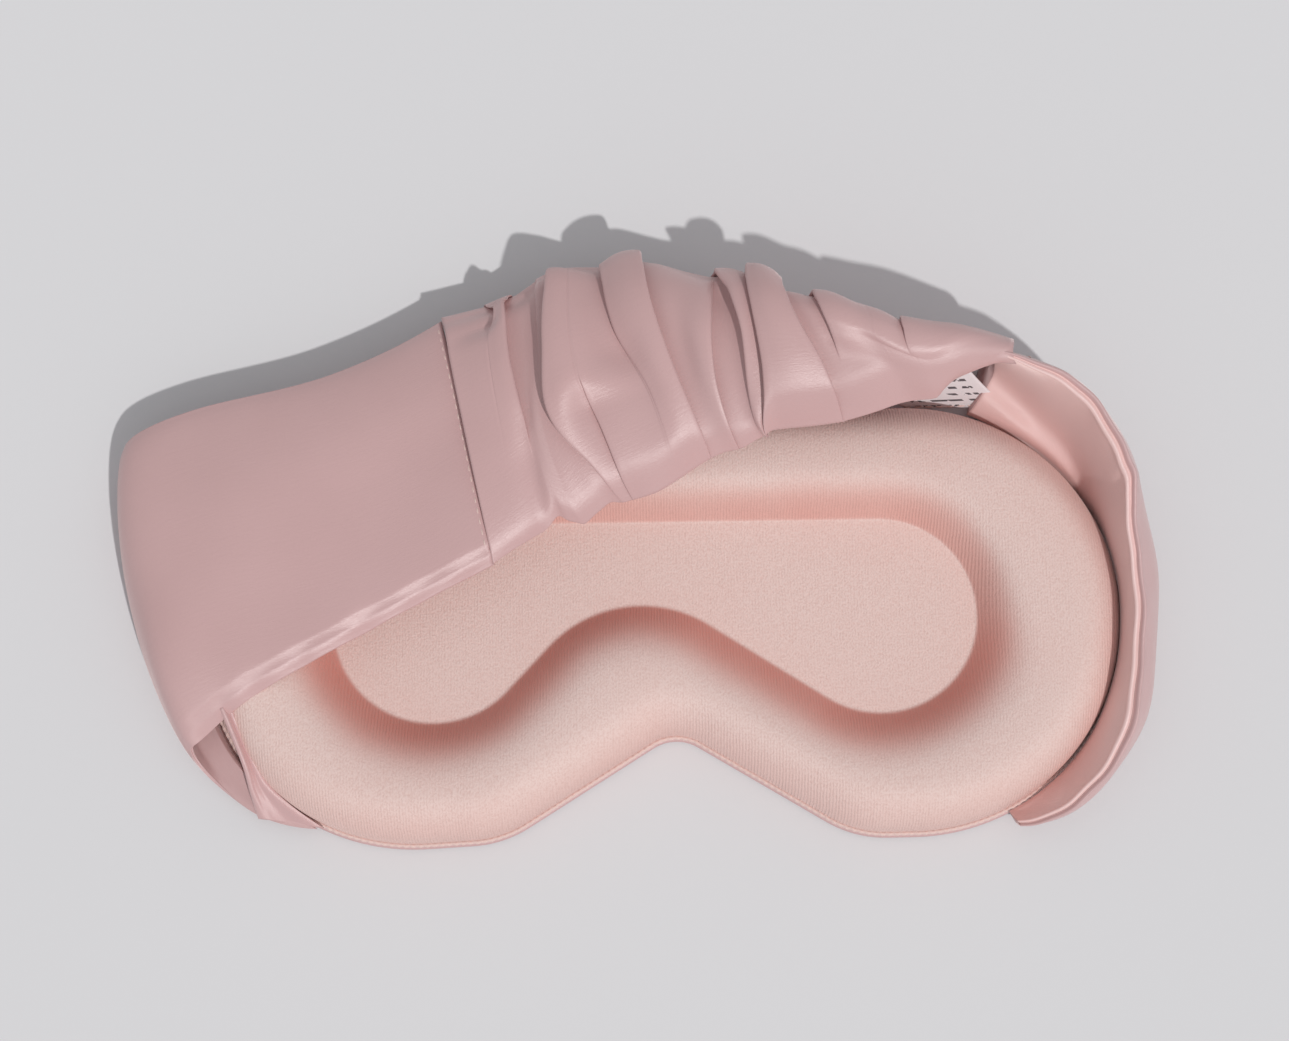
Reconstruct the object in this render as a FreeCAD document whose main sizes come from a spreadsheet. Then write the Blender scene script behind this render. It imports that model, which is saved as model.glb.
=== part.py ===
"""Contoured sleep eye mask with a wide satin head strap, as a parametric FreeCAD document.

The mask lies on its satin front face, as it does on a table. X runs from the wearer's one temple to the
other, +Y points to the forehead, +Z points away from the table, towards the back of the head. The origin is
the middle of the flat front face. Lengths are millimetres.
"""
import FreeCAD, Part
import math
import os

import Sketcher

doc = FreeCAD.newDocument("SleepMask")

# ---------------------------------------------------------------- driving dimensions
DIMENSIONS = {
    # plan outline of the moulded pad: five arcs joined by tangent lines
    "side_radius": 50.5, "side_x": 56.3, "side_y": -2.0,
    "lobe_radius": 26.0, "lobe_x": 50.0, "lobe_y": -26.5,
    "nose_radius": 12.0, "nose_y": -40.5,
    # plan outline of the eye hollow: two eye circles and the bridge of the nose
    "eye_radius": 24.0, "eye_x": 53.5, "eye_y": -1.5,
    "bridge_radius": 22.0, "bridge_y": -20.5,
    "hollow_shift": -4.0,
    # heights
    "cover_gauge": 1.2, "cover_round": 0.7, "foam_height": 17.6, "foam_floor": 4.0,
    "rim_round": 10.0, "hollow_round": 11.0,
    # soft goods
    "lining_gauge": 0.7, "flange_width": 1.9, "overlock_width": 1.0, "overlock_height": 1.4,
    "ply_gauge": 0.6, "panel_gap": 0.5, "sleeve_gap": 2.6, "hem_allowance": 2.5, "ease": 0.06,
    "elastic_gauge": 1.2, "elastic_share": 0.62, "tack_length": 4.0,
    "thread_gauge": 0.4, "thread_width": 1.2,
    "root_clearance": 2.3, "root_height": 2.8,
    "label_width": 25.0, "label_length": 17.0, "label_gauge": 0.4, "label_lean": 17.0,
    "label_x": 69.0, "label_y": 49.9, "label_z": 2.9,
}

sizes = doc.addObject("Spreadsheet::Sheet", "Sizes")
for row, (alias, value) in enumerate(DIMENSIONS.items(), start=1):
    sizes.set(f"A{row}", alias)
    sizes.set(f"B{row}", str(value))
    sizes.setAlias(f"B{row}", alias)
doc.recompute()


def size(alias):
    """The value of one cell of the sheet."""
    return float(sizes.get(alias))


# ---------------------------------------------------------------- outlines: a belt round pulleys
# Each pulley is (x, y, radius, side) in the words of the sheet. Side +1 lies inside the belt, -1 outside it.
PAD_BELT = [
    ("lobe_x", "lobe_y", "lobe_radius", 1),
    ("side_x", "side_y", "side_radius", 1),
    ("-side_x", "side_y", "side_radius", 1),
    ("-lobe_x", "lobe_y", "lobe_radius", 1),
    ("", "nose_y", "nose_radius", -1),
]
HOLLOW_BELT = [
    ("eye_x", "eye_y", "eye_radius", 1),
    ("-eye_x", "eye_y", "eye_radius", 1),
    ("", "bridge_y", "bridge_radius", -1),
]


def words(name, shift=""):
    """A sheet expression for a coordinate such as "-side_x", moved by the cell named shift."""
    sign = "-" if name.startswith("-") else ""
    core = f"{sign}Sizes.{name.lstrip('-')}" if name else "0"
    return f"{core} + Sizes.{shift}" if shift else core


def number(name, shift=""):
    """The same coordinate as a number."""
    sign = -1.0 if name.startswith("-") else 1.0
    value = sign * size(name.lstrip("-")) if name else 0.0
    return value + (size(shift) if shift else 0.0)


def tangent(first, second):
    """The two ends of the belt's straight run from one pulley to the next, each (x, y, radius, side)."""
    (x1, y1, r1, s1), (x2, y2, r2, s2) = first, second
    length = math.hypot(x2 - x1, y2 - y1)
    heading = math.atan2(y2 - y1, x2 - x1) - math.asin((s2 * r2 - s1 * r1) / length)
    left = (-math.sin(heading), math.cos(heading))
    return (
        FreeCAD.Vector(x1 - left[0] * s1 * r1, y1 - left[1] * s1 * r1, 0),
        FreeCAD.Vector(x2 - left[0] * s2 * r2, y2 - left[1] * s2 * r2, 0),
    )


def origin_plane(body, role):
    return [f for f in body.Origin.OriginFeatures if f.Role == role][0]


def belt_outline(sketch, belt, shift, grow_cells, grow_sign):
    """Draws one closed belt in the sketch: an arc on every pulley, tangent lines between them."""
    grow = grow_sign * sum(size(c) for c in grow_cells)
    grow_words = "".join(f" + {{}} * Sizes.{c}" for c in grow_cells)
    pulleys = [
        (number(x, shift), number(y), size(r) + side * grow, side) for x, y, r, side in belt
    ]
    count = len(pulleys)
    runs = [tangent(pulleys[i], pulleys[(i + 1) % count]) for i in range(count)]
    arcs, lines = [], []
    for i, (x, y, radius, side) in enumerate(pulleys):
        arrive, leave = runs[i - 1][1], runs[i][0]
        start, end = (arrive, leave) if side > 0 else (leave, arrive)
        circle = Part.Circle(FreeCAD.Vector(x, y, 0), FreeCAD.Vector(0, 0, 1), radius)
        angles = [math.atan2(p.y - y, p.x - x) for p in (start, end)]
        arcs.append(sketch.addGeometry(Part.ArcOfCircle(circle, angles[0], angles[1]), False))
    for leave, arrive in runs:
        lines.append(sketch.addGeometry(Part.LineSegment(leave, arrive), False))
    for i, (x, y, radius, side) in enumerate(belt):
        start, end = (1, 2) if side > 0 else (2, 1)
        sketch.addConstraint(Sketcher.Constraint("Tangent", arcs[i], end, lines[i], 1))
        sketch.addConstraint(Sketcher.Constraint("Tangent", arcs[i], start, lines[i - 1], 2))
        for kind, value, expression in (
            ("DistanceX", pulleys[i][0], words(x, shift)),
            ("DistanceY", pulleys[i][1], words(y)),
        ):
            index = sketch.addConstraint(Sketcher.Constraint(kind, -1, 1, arcs[i], 3, value))
            sketch.setExpression(f"Constraints[{index}]", expression)
        index = sketch.addConstraint(Sketcher.Constraint("Radius", arcs[i], pulleys[i][2]))
        sketch.setExpression(
            f"Constraints[{index}]",
            f"Sizes.{radius}" + grow_words.replace("{}", str(side * grow_sign)),
        )


def plan_sketch(body, name, belts, height):
    """A sketch parallel to the table at a height given in the sheet's words."""
    sketch = body.newObject("Sketcher::SketchObject", name)
    sketch.AttachmentSupport = (origin_plane(body, "XY_Plane"), [""])
    sketch.MapMode = "FlatFace"
    sketch.setExpression("AttachmentOffset.Base.z", height)
    for belt, shift, grow_cells, grow_sign in belts:
        belt_outline(sketch, belt, shift, grow_cells, grow_sign)
    doc.recompute()
    return sketch


def pad_feature(body, name, sketch, length):
    pad = body.newObject("PartDesign::Pad", name)
    pad.Profile = sketch
    pad.setExpression("Length", length)
    doc.recompute()
    return pad


def level_edges(feature, height, inside):
    """Names of the feature's edges at one height: those of the eye hollow (inside) or of the outline."""
    def level(item):
        return abs(item.BoundBox.ZMin - height) < 1e-4 and abs(item.BoundBox.ZMax - height) < 1e-4

    top_face = [face for face in feature.Shape.Faces if level(face)][0]
    outline = top_face.OuterWire.Edges
    return [
        f"Edge{i}" for i, edge in enumerate(feature.Shape.Edges, start=1)
        if level(edge) and inside != any(edge.isSame(other) for other in outline)
    ]


def moulded_pad(label, skin):
    """The pad with its eye hollow. skin is the list of cells by which every face stands out."""
    body = doc.addObject("PartDesign::Body", label)
    skin_words = "".join(f" + Sizes.{c}" for c in skin)
    skin_mm = sum(size(c) for c in skin)
    base = plan_sketch(body, label + "_plan", [(PAD_BELT, "", skin, 1)], "Sizes.cover_gauge")
    pad = pad_feature(body, label + "_pad", base, "Sizes.foam_height" + skin_words)
    top = size("cover_gauge") + size("foam_height") + skin_mm
    rim = body.newObject("PartDesign::Fillet", label + "_rim")
    rim.Base = (pad, level_edges(pad, top, False))
    rim.setExpression("Radius", "Sizes.rim_round" + skin_words)
    doc.recompute()
    hollow = plan_sketch(
        body, label + "_hollow_plan", [(HOLLOW_BELT, "hollow_shift", skin, -1)],
        "Sizes.cover_gauge + Sizes.foam_height" + skin_words,
    )
    before = rim.Shape.Volume
    pocket = body.newObject("PartDesign::Pocket", label + "_hollow")
    pocket.Profile = hollow
    pocket.setExpression("Length", "Sizes.foam_height - Sizes.foam_floor")
    doc.recompute()
    if pocket.Shape.Volume > before - 1000:
        raise RuntimeError(label + ": the eye hollow cut nothing")
    lip = body.newObject("PartDesign::Fillet", label + "_lip")
    lip.Base = (pocket, level_edges(pocket, top, True))
    lip.setExpression("Radius", "Sizes.hollow_round" + skin_words)
    doc.recompute()
    body.Tip = lip
    return body


# ---------------------------------------------------------------- the mask itself
foam_core = moulded_pad("foam_core", [])
lining_form = moulded_pad("lining_form", ["lining_gauge"])
back_lining = doc.addObject("Part::Cut", "back_lining")
back_lining.Base = lining_form
back_lining.Tool = foam_core

front_cover = doc.addObject("PartDesign::Body", "front_cover")
cover_plan = plan_sketch(front_cover, "cover_plan", [(PAD_BELT, "", ["flange_width"], 1)], "0")
cover_pad = pad_feature(front_cover, "cover_pad", cover_plan, "Sizes.cover_gauge")
cover_edge = front_cover.newObject("PartDesign::Fillet", "cover_edge")
cover_edge.Base = (cover_pad, [
    f"Edge{i}" for i, edge in enumerate(cover_pad.Shape.Edges, start=1) if edge.BoundBox.ZMax < 1e-4
])
cover_edge.setExpression("Radius", "Sizes.cover_round")

perimeter_overlock = doc.addObject("PartDesign::Body", "perimeter_overlock")
ring_plan = plan_sketch(
    perimeter_overlock, "overlock_plan",
    [(PAD_BELT, "", ["lining_gauge", "overlock_width"], 1), (PAD_BELT, "", ["lining_gauge"], 1)],
    "Sizes.cover_gauge",
)
pad_feature(perimeter_overlock, "overlock_pad", ring_plan, "Sizes.overlock_height")


# ---------------------------------------------------------------- strap surfaces
def beside(side, angle, out, height):
    """A point beside the mask: out is the distance from the pad's outline, measured at the side circle."""
    reach = size("side_radius") + out
    turn = math.radians(angle)
    return (
        side * (size("side_x") + reach * math.cos(turn)),
        size("side_y") + reach * math.sin(turn),
        height,
    )


def root(side, angle):
    """A point of the strap's sewn edge, just outside the mask's perimeter."""
    return beside(side, angle, size("root_clearance"), size("root_height"))


# Each strap piece follows a net of points: one row per station along the strap, each row running across it
# from the forehead hem to the cheek hem.
LEFT_PANEL = [  # from the mask's left edge to the fold beyond it, then back over the mask to the gather
    [root(-1, angle) for angle in (58, 29, 0, -29, -58)],
    [(-104, 46, 2.7), (-115.5, 26, 2.6), (-118.5, 1, 2.6), (-112.5, -24, 2.8), (-98.5, -44.5, 3.2)],
    [(-121, 43, 3.4), (-126, 23.5, 3.2), (-125.5, 2, 3.4), (-120.5, -18.5, 3.6), (-110, -38, 4.2)],
    [(-130.5, 41.5, 8), (-131, 24, 10.5), (-128.5, 5.5, 11), (-123.5, -13, 10.5), (-115, -31, 8.2)],
    [(-127, 44.5, 12.5), (-126.5, 26, 18), (-123.5, 8, 19), (-119, -10.5, 18), (-111.5, -28, 12.8)],
    [(-112.5, 50.2, 13.8), (-111, 31.5, 20.5), (-108, 14, 21.5), (-104, -3, 21.5), (-97.5, -18.3, 20.5)],
    [(-81.3, 57.5, 15), (-79, 42, 21.5), (-76, 26.5, 22.5), (-73.5, 11, 22.5), (-70, -3.6, 22.3)],
    [(-54.3, 70.5, 16), (-51, 56, 22), (-48, 41, 23.2), (-45, 25.5, 23.5), (-42, 10.4, 23.5)],
]
SLEEVE = [  # flat over the mask at its left end, standing on its forehead hem at its right end
    [(-53.2, 71, 16), (-48.8, 51, 22.5), (-44.8, 31, 24), (-41, 10.5, 24)],
    [(-30, 79, 16.5), (-28.5, 62, 24), (-27.5, 40, 26.5), (-27, 20, 25)],
    [(-10, 84, 17), (-11, 66, 26), (-11.5, 45, 28.5), (-12, 25.5, 26)],
    [(11, 79, 15), (9, 68, 28), (7, 50, 31), (6, 33, 27.5)],
    [(29, 76, 11), (27, 67.5, 28), (25, 52, 33), (24, 37.5, 29.5)],
    [(46, 71, 7), (45, 65.5, 27), (43.5, 54, 34), (42, 42, 32)],
    [(60, 67, 4), (59.5, 63, 23), (58.5, 55, 34), (57, 45.5, 34.5)],
    [(72, 63.5, 3), (72, 61.5, 18), (71.5, 57, 30), (70.5, 51, 36.5)],
    [(80, 62, 2.8), (80, 61, 14), (80, 58.5, 27), (80, 55, 38)],
]
RIGHT_STATIONS = (  # angle, then distance from the outline and height: sewn edge, three up the wall, hem
    (56, ((6, 2.8), (11, 6), (14.5, 13.5), (14.5, 25), (12, 36.5))),
    (45, ((3.6, 2.8), (8.6, 5.4), (13, 12.5), (13.4, 24), (11, 34.7))),
    (33, ((2.4, 2.8), (7, 5), (11.4, 12), (11.8, 22.7), (8.4, 32.6))),
    (20, ((2.4, 2.8), (6.6, 5), (9.8, 11.2), (9.2, 21), (4.2, 30.4))),
    (5, ((2.4, 2.8), (6.4, 5), (9, 10.8), (8, 19.5), (2.6, 28.2))),
    (-12, ((2.4, 2.8), (6.4, 5), (8.8, 10), (8, 17.6), (3.4, 25.4))),
    (-27, ((2.4, 2.8), (6.2, 4.8), (9, 9), (9, 15.4), (6, 21.8))),
    (-41, ((2.4, 2.8), (6, 4.4), (9, 7.6), (9.8, 12), (8.4, 16.2))),
    (-53, ((2.4, 2.8), (5, 3.6), (7.6, 5.6), (8.8, 8.2), (8.4, 11))),
    (-64, ((2.4, 2.8), (3.5, 3.2), (4.5, 4.2), (5, 5.4), (5.2, 6.8))),
)
RIGHT_PANEL = [  # stands on the table beside the mask, from the gather round to the cheek
    [(81, 61.8, 2.8), (81, 61.4, 10), (81, 60.2, 19), (81, 58, 28.5), (81, 54.6, 38)],
] + [[beside(1, angle, out, height) for out, height in places] for angle, places in RIGHT_STATIONS]


def spline_poles(points):
    """Poles of the smooth cubic spline through the points: two beside each inner point, two at each end."""
    if len(points) == 2:
        third = (points[1] - points[0]) / 3
        return [points[0], points[0] + third, points[1] - third, points[1]]
    slopes = [(after - before) / 6 for before, after in zip(points, points[2:])]
    slopes.insert(0, (points[1] - points[0]) * 2 / 3 - slopes[0])
    slopes.append((points[-1] - points[-2]) * 2 / 3 - slopes[-1])
    poles = [points[0], points[0] + slopes[0]]
    for point, slope in zip(points[1:-1], slopes[1:-1]):
        poles += [point - slope, point + slope]
    return poles + [points[-1] - slopes[-1], points[-1]]


def smooth_surface(net):
    """The smooth surface through every point of a net; u runs along the strap and v across it."""
    rows = [spline_poles([FreeCAD.Vector(*point) for point in row]) for row in net]
    columns = [spline_poles(list(column)) for column in zip(*rows)]
    surface = Part.BSplineSurface()
    surface.buildFromPolesMultsKnots(
        [list(row) for row in zip(*columns)],
        [4] + [2] * (len(net) - 2) + [4],
        [4] + [2] * (len(net[0]) - 2) + [4],
        [float(i) for i in range(len(net))],
        [float(i) for i in range(len(net[0]))],
        False, False, 3, 3,
    )
    return surface


def sheet_solid(net, low, high, edges=(0.0, 1.0), along=(0.0, 1.0)):
    """A fabric piece: the net's surface thickened from low to high along its normals.

    edges and along are the shares of the net's width and length that the piece covers.
    """
    middle = smooth_surface(net)
    u_steps = 3 * len(net) if along == (0.0, 1.0) else 3
    v_steps = 9 if edges[1] - edges[0] > 0.3 else 3
    u_places = [
        (len(net) - 1) * (along[0] + (along[1] - along[0]) * i / (u_steps - 1)) for i in range(u_steps)
    ]
    v_places = [
        (len(net[0]) - 1) * (edges[0] + (edges[1] - edges[0]) * j / (v_steps - 1)) for j in range(v_steps)
    ]
    skins = [
        [[middle.value(u, v) - middle.normal(u, v) * height for v in v_places] for u in u_places]
        for height in (low, high)
    ]
    rims = [
        [skin[0] for skin in skins],
        [skin[-1] for skin in skins],
        [[row[0] for row in skin] for skin in skins],
        [[row[-1] for row in skin] for skin in skins],
    ]
    shell = Part.makeShell([smooth_surface(points).toShape() for points in skins + rims])
    shell.sewShape(0.001)
    solid = Part.makeSolid(shell)
    return solid if solid.Volume > 0 else solid.reversed()


def fabric_piece(label, *solids):
    piece = doc.addObject("Part::Feature", label)
    piece.Shape = solids[0] if len(solids) == 1 else Part.makeCompound(list(solids))
    return piece


def row_length(row):
    return sum(FreeCAD.Vector(*a).distanceToPoint(FreeCAD.Vector(*b)) for a, b in zip(row, row[1:]))


def mean_width(net):
    return sum(row_length(row) for row in net) / len(net)


def plies(name, net, gap):
    """The outer and the inner ply of one strap section, gap apart, and the hem seams between them."""
    half, ply, ease = gap / 2, size("ply_gauge"), size("ease")
    hem = size("hem_allowance") / mean_width(net)
    return [
        fabric_piece(name + "_outer_ply", sheet_solid(net, half, half + ply)),
        fabric_piece(name + "_inner_ply", sheet_solid(net, -half - ply, -half)),
        fabric_piece(
            name + "_hem_seams",
            sheet_solid(net, ease - half, half - ease, (0.0, hem)),
            sheet_solid(net, ease - half, half - ease, (1.0 - hem, 1.0)),
        ),
    ]


def end_share(net, distance):
    """The share of the net's length that lies within a distance of its first row."""
    first, second = FreeCAD.Vector(*net[0][1]), FreeCAD.Vector(*net[1][1])
    return distance / first.distanceToPoint(second) / (len(net) - 1)


strap_pieces = plies("left_panel", LEFT_PANEL, size("panel_gap"))
strap_pieces += plies("right_panel", RIGHT_PANEL, size("panel_gap"))
strap_pieces += plies("sleeve", SLEEVE, size("sleeve_gap"))

# the wide elastic that gathers the sleeve, and the tacks that hold its two ends to the outer ply
ease = size("ease")
spare = (1.0 - size("elastic_share")) / 2
elastic_edges = (spare, 1.0 - spare)
elastic_half = size("elastic_gauge") / 2
strap_pieces.append(
    fabric_piece("elastic_band", sheet_solid(SLEEVE, -elastic_half, elastic_half, elastic_edges))
)
tack = end_share(SLEEVE, size("tack_length"))
for label, along in (("elastic_tack_left", (0.002, tack)), ("elastic_tack_right", (1.0 - tack, 0.998))):
    strap_pieces.append(fabric_piece(label, sheet_solid(
        SLEEVE, elastic_half + ease, size("sleeve_gap") / 2 - ease, elastic_edges, along,
    )))

# the rows of stitching on the outer ply, beside each join
thread_low = size("panel_gap") / 2 + size("ply_gauge") + ease
thread_high = thread_low + size("thread_gauge")
left_row = end_share(LEFT_PANEL, size("thread_width"))
left_end_row = end_share(LEFT_PANEL[::-1], size("thread_width"))
right_row = end_share(RIGHT_PANEL, size("thread_width"))
root_row = size("thread_width") / mean_width(RIGHT_PANEL)
for label, net, edges, along in (
    ("left_root_seam", LEFT_PANEL, (0.0, 1.0), (0.3 * left_row, 1.3 * left_row)),
    ("left_gather_seam", LEFT_PANEL, (0.0, 1.0), (1.0 - 1.5 * left_end_row, 1.0 - 0.5 * left_end_row)),
    ("right_gather_seam", RIGHT_PANEL, (0.0, 1.0), (0.5 * right_row, 1.5 * right_row)),
    ("right_root_seam", RIGHT_PANEL[3:], (0.0, root_row), (0.0, 1.0)),
):
    strap_pieces.append(fabric_piece(label, sheet_solid(net, thread_low, thread_high, edges, along)))


# ---------------------------------------------------------------- care label
def label_sheet(label, depth_words, height_words, offset):
    """A flat piece standing on the perimeter seam, leaning away from the pad, offset mm off its back."""
    sheet = doc.addObject("Part::Box", label)
    sheet.setExpression("Length", "Sizes.label_width")
    sheet.setExpression("Width", depth_words)
    sheet.setExpression("Height", height_words)
    lean = FreeCAD.Rotation(FreeCAD.Vector(1, 0, 0), -size("label_lean"))
    corner = FreeCAD.Vector(size("label_x") - size("label_width") / 2, size("label_y"), size("label_z"))
    sheet.Placement = FreeCAD.Placement(corner + lean.multVec(FreeCAD.Vector(0, offset, 0)), lean)
    return sheet


care_label = label_sheet("care_label", "Sizes.label_gauge", "Sizes.label_length", 0.0)
label_stitch = label_sheet(
    "label_stitch", "Sizes.thread_gauge", "Sizes.thread_width", size("label_gauge") + ease
)

doc.recompute()

# ---------------------------------------------------------------- checks and export
nodes = [front_cover, foam_core, back_lining, perimeter_overlock, care_label, label_stitch, *strap_pieces]
for item in doc.Objects:
    if {"Invalid", "Error"} & set(item.State):
        raise RuntimeError(f"{item.Label} failed: {item.State}")
os.makedirs("parts", exist_ok=True)
for node in nodes:
    shape = node.Shape
    if shape.isNull() or not shape.isValid() or shape.Volume <= 0:
        raise RuntimeError(f"{node.Label} has no valid solid")
    shape.exportStep(os.path.join("parts", node.Label + ".step"))
    print(f"{node.Label:24s} {len(shape.Solids)} solid(s) {shape.Volume / 1000:8.3f} cm3 "
          f"z {shape.BoundBox.ZMin:6.2f} to {shape.BoundBox.ZMax:6.2f}")
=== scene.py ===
"""Looks of the sleep eye mask: moulded jersey pad, satin strap with a gathered sleeve, on a pale floor.

Lengths below are millimetres in the model's frame: +X to one temple, +Y to the forehead, +Z off the table.
"""
import math

import bmesh
import bpy
import numpy as np
from mathutils import Matrix, Vector


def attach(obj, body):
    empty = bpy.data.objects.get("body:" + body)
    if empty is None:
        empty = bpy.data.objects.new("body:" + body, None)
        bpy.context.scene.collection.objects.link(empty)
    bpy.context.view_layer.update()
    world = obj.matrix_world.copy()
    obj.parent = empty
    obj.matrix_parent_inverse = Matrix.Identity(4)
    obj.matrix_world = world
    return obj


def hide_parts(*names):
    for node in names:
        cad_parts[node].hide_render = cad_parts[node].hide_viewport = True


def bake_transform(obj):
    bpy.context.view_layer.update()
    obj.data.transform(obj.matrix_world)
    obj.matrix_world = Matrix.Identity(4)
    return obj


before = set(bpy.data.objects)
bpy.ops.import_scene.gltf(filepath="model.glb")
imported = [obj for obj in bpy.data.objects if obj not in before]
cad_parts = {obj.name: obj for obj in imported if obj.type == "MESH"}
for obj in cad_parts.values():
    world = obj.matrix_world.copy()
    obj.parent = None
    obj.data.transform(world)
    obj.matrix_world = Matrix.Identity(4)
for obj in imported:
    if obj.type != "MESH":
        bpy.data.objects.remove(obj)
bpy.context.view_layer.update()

MM = 0.001
LINING_GAUGE = 0.7
STRAP_WIDTH = 62.0
SIDE_X, SIDE_Y, SIDE_RADIUS = 56.3, -2, 50.5  # the round right end of the pad
WALE_PITCH = 0.00072  # metres, as are the other lengths inside materials
PRINT_PITCH = 0.0024
LABEL_WIDTH, LABEL_LENGTH = 25.0, 17
LABEL_FOOT = (70.5, 49.9, 2.9)


# ---------------------------------------------------------------- curves and surfaces
def spline_weights(count, places):
    """Matrix that evaluates the smooth curve through count points at the given places (0 to count - 1)."""
    rows = []
    for place in places:
        i = min(int(place), count - 2)
        t = place - i
        row = np.zeros(count)
        h = (2 * t**3 - 3 * t**2 + 1, t**3 - 2 * t**2 + t, -2 * t**3 + 3 * t**2, t**3 - t**2)
        row[i] += h[0]
        row[i + 1] += h[2]
        for end, weight in ((i, h[1]), (i + 1, h[3])):
            if 0 < end < count - 1:
                row[end + 1] += weight / 2
                row[end - 1] -= weight / 2
            elif count == 2:
                row[1] += weight
                row[0] -= weight
            else:
                a, b, c, s = (0, 1, 2, 1) if end == 0 else (count - 1, count - 2, count - 3, -1)
                row[a] -= 1.5 * s * weight
                row[b] += 2.0 * s * weight
                row[c] -= 0.5 * s * weight
        rows.append(row)
    return np.array(rows)


def surface(net, along, across):
    """Points of the smooth surface through a net; along and across are shares from 0 to 1."""
    net = np.array(net, float)
    first = spline_weights(net.shape[0], np.asarray(along) * (net.shape[0] - 1))
    second = spline_weights(net.shape[1], np.asarray(across) * (net.shape[1] - 1))
    return np.einsum("ai,bj,ijk->abk", first, second, net)


def running_length(line):
    return np.concatenate([[0], np.cumsum(np.linalg.norm(np.diff(line, axis=0), axis=1))])


def unit(v):
    return v / np.maximum(np.linalg.norm(v, axis=-1, keepdims=True), 1e-9)


def normals(grid):
    """Unit normals of a grid of points, along x across."""
    along = np.gradient(grid, axis=0)
    across = np.gradient(grid, axis=1)
    return unit(np.cross(along, across))


def ease(t):
    t = np.clip(t, 0, 1)
    return t * t * (3 - 2 * t)


def bump_at(x, centre, width):
    """A smooth hump of height 1 at centre."""
    return np.exp(-(((np.asarray(x) - centre) / width) ** 2))


def softplus(x, corner):
    """x where it is positive, or else 0, with a rounded corner."""
    return corner * np.logaddexp(0, np.asarray(x) / corner)


# ---------------------------------------------------------------- meshes
def add_mesh(name, points, faces, material, uv=None):
    """A smooth-shaded object from points in mm; uv gives one pair per point in mm, or else it is the plan."""
    mesh = bpy.data.meshes.new(name)
    mesh.from_pydata((np.asarray(points, float) * MM).tolist(), [], [list(map(int, f)) for f in faces])
    mesh.validate()
    shell = bmesh.new()
    shell.from_mesh(mesh)
    bmesh.ops.recalc_face_normals(shell, faces=shell.faces)
    shell.to_mesh(mesh)
    shell.free()
    uv = np.asarray(points, float)[:, :2] if uv is None else np.asarray(uv, float)
    layer = mesh.uv_layers.new(name="cloth")
    loops = np.zeros(len(mesh.loops), int)
    mesh.loops.foreach_get("vertex_index", loops)
    layer.data.foreach_set("uv", (uv[loops] * MM).ravel())
    mesh.polygons.foreach_set("use_smooth", [True] * len(mesh.polygons))
    piece = bpy.data.objects.new(name, mesh)
    piece.data.materials.append(material)
    bpy.context.scene.collection.objects.link(piece)
    return piece


def grid_faces(rows, columns, wrap_rows=False, wrap_columns=False, start=0):
    """Quads of a grid of rows x columns points, numbered row by row."""
    faces = []
    for i in range(rows if wrap_rows else rows - 1):
        for j in range(columns if wrap_columns else columns - 1):
            i2, j2 = (i + 1) % rows, (j + 1) % columns
            faces.append((i * columns + j, i2 * columns + j, i2 * columns + j2, i * columns + j2))
    return [tuple(start + k for k in f) for f in faces]


def cloth_length(grid, axis):
    """Running length in mm along one axis of a grid of points."""
    step = np.linalg.norm(np.diff(grid, axis=axis), axis=-1)
    pad = [(0, 0), (0, 0)]
    pad[axis] = (1, 0)
    return np.pad(np.cumsum(step, axis=axis), pad)


# ---------------------------------------------------------------- materials
def node(tree, kind, links=(), **settings):
    """Adds a node; settings are its properties, and names that match inputs set their values."""
    made = tree.nodes.new(kind)
    for key, value in settings.items():
        if hasattr(made, key):
            setattr(made, key, value)
        else:
            made.inputs[key.replace("_", " ")].default_value = value
    for source, socket in links:
        tree.links.new(source, made.inputs[socket])
    return made


def node_material(name, **values):
    """A material with one principled shader, whose inputs take the values, and a node of coordinates."""
    material = bpy.data.materials.new(name)
    material.use_nodes = True
    tree = material.node_tree
    tree.nodes.clear()
    out = tree.nodes.new("ShaderNodeOutputMaterial")
    shader = node(tree, "ShaderNodeBsdfPrincipled", **values)
    tree.links.new(shader.outputs[0], out.inputs[0])
    return material, tree, shader, node(tree, "ShaderNodeTexCoord")


def math_node(tree, operation, a, b=0.0, c=0.0):
    made = tree.nodes.new("ShaderNodeMath")
    made.operation = operation
    for socket, value in enumerate((a, b, c)):
        if hasattr(value, "is_linked"):
            tree.links.new(value, made.inputs[socket])
        else:
            made.inputs[socket].default_value = value
    return made.outputs[0]


def mix_colour(tree, factor, a, b):
    """Mixes two colours, each a tuple or a socket."""
    made = tree.nodes.new("ShaderNodeMix")
    made.data_type = "RGBA"
    for socket, value in ((0, factor), (6, a), (7, b)):
        if hasattr(value, "is_linked"):
            tree.links.new(value, made.inputs[socket])
        elif socket == 0:
            made.inputs[socket].default_value = value
        else:
            made.inputs[socket].default_value = (*value, 1.0)
    return made.outputs[2]


def noise(tree, vector, scale, detail=2.0, roughness=0.5):
    settings = {"Scale": scale, "Detail": detail, "Roughness": roughness}
    return node(tree, "ShaderNodeTexNoise", [(vector, "Vector")], **settings).outputs["Fac"]


def scaled(tree, vector, factors):
    return node(tree, "ShaderNodeMapping", [(vector, "Vector")], Scale=factors).outputs[0]


def bump(tree, shader, height, strength, distance):
    made = node(tree, "ShaderNodeBump", [(height, "Height")], Strength=strength, Distance=distance)
    tree.links.new(made.outputs[0], shader.inputs["Normal"])


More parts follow.
